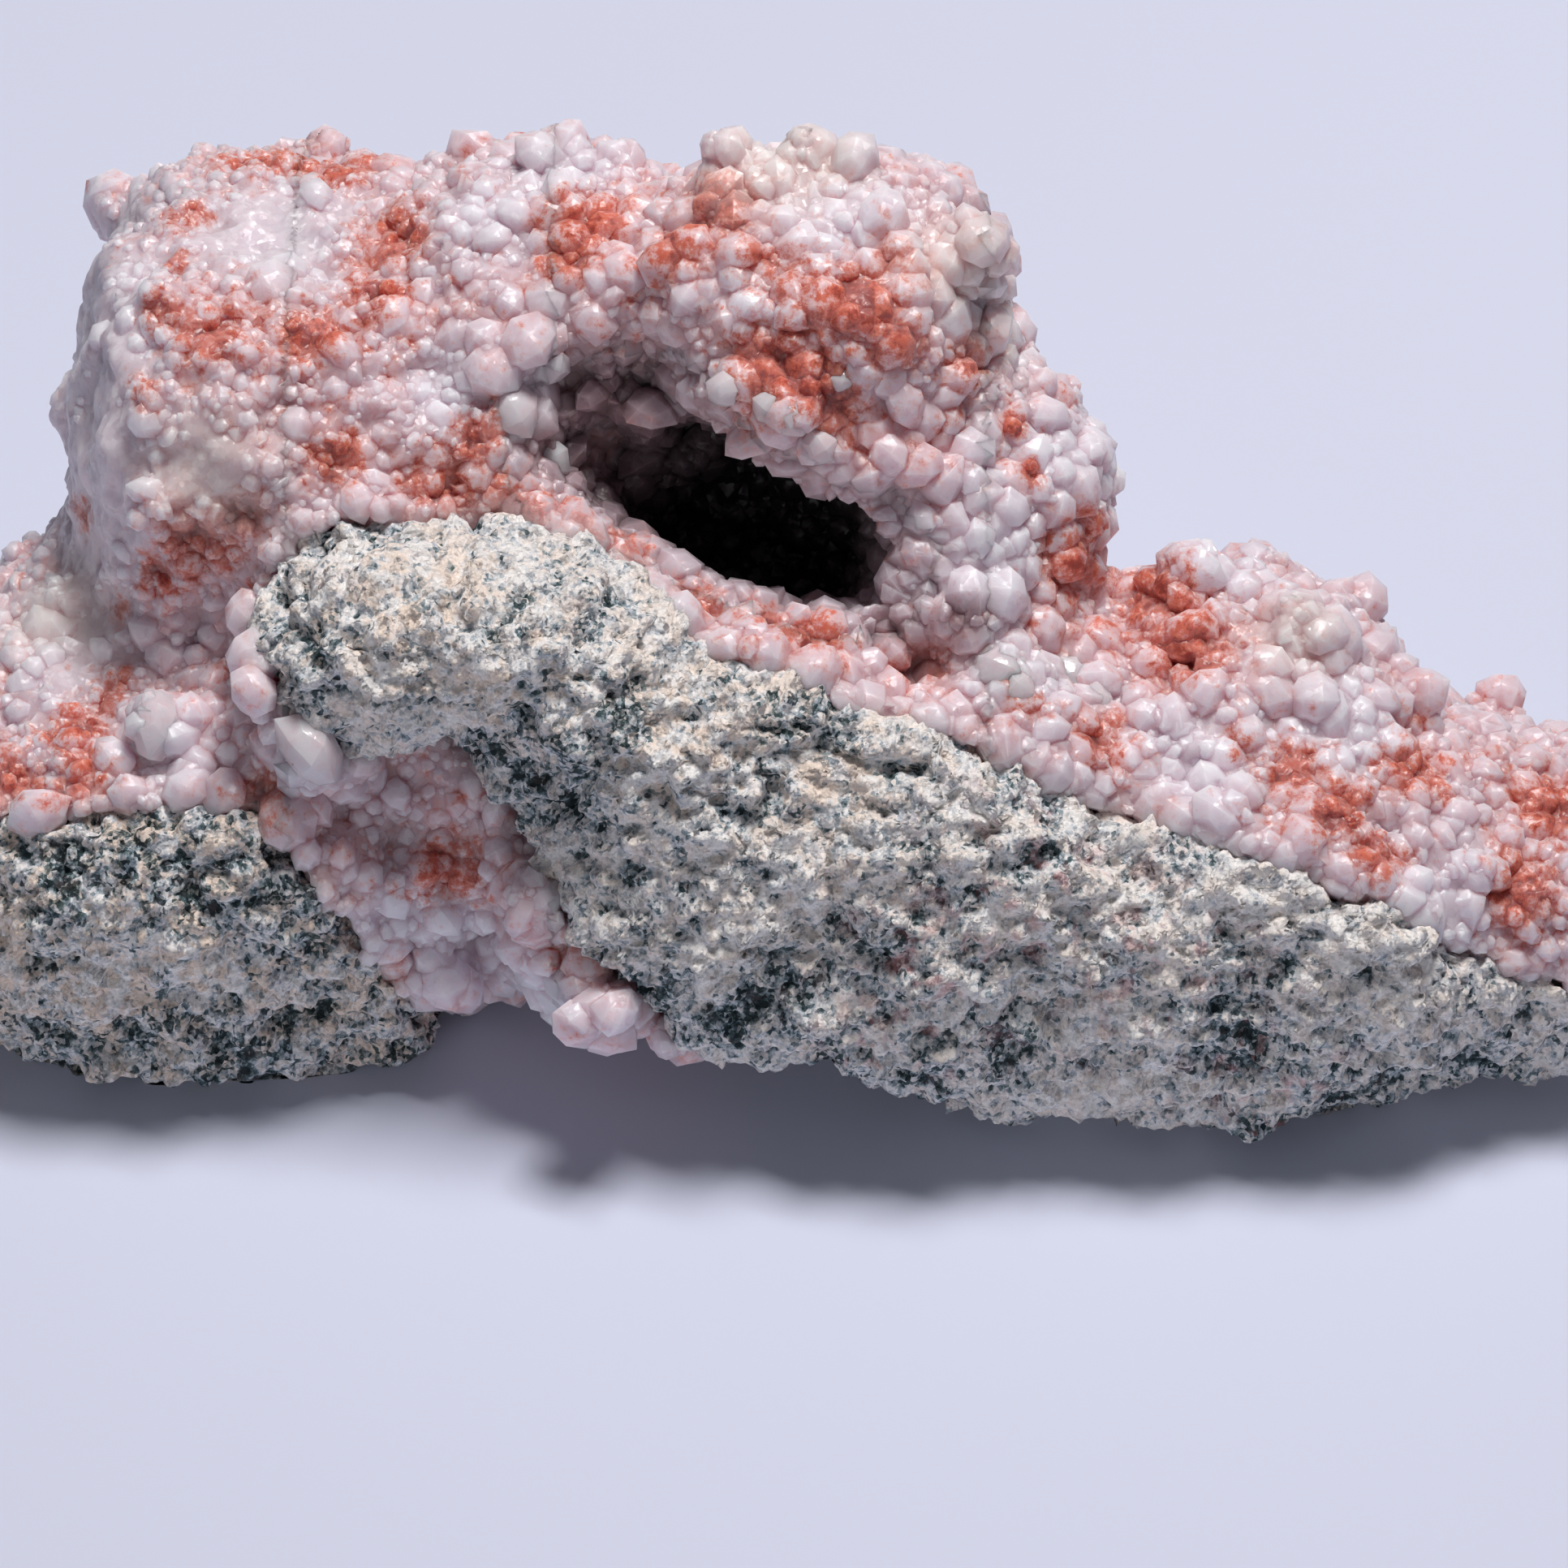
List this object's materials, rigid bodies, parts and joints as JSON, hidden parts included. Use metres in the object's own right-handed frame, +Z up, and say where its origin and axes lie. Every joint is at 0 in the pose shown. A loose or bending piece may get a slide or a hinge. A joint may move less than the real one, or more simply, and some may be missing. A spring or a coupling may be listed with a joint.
{
  "type": "mineral specimen",
  "caption": "Analcime crystals with an open crystal-lined cavity on two blocks of altered volcanic rock joined by a crystal-filled vein.",
  "frame": {"origin": "under the middle of the specimen, on the surface that it rests on", "axes": "+X along the length, towards the thin tail; +Z up as the specimen lies; -Y is the broken front face of the host rock"},
  "size_m": [0.1016, 0.0526, 0.0452],
  "materials": {
    "host_rock_slab": "matte",
    "host_rock_block": "matte",
    "analcime": "satin",
    "cavity_analcime": "gloss"
  },
  "bodies": {
    "root": {"host_rock_slab": "host_rock_slab", "host_rock_block": "host_rock_block", "analcime_mass": "analcime", "cavity_crust": "cavity_analcime"}
  },
  "joints": []
}
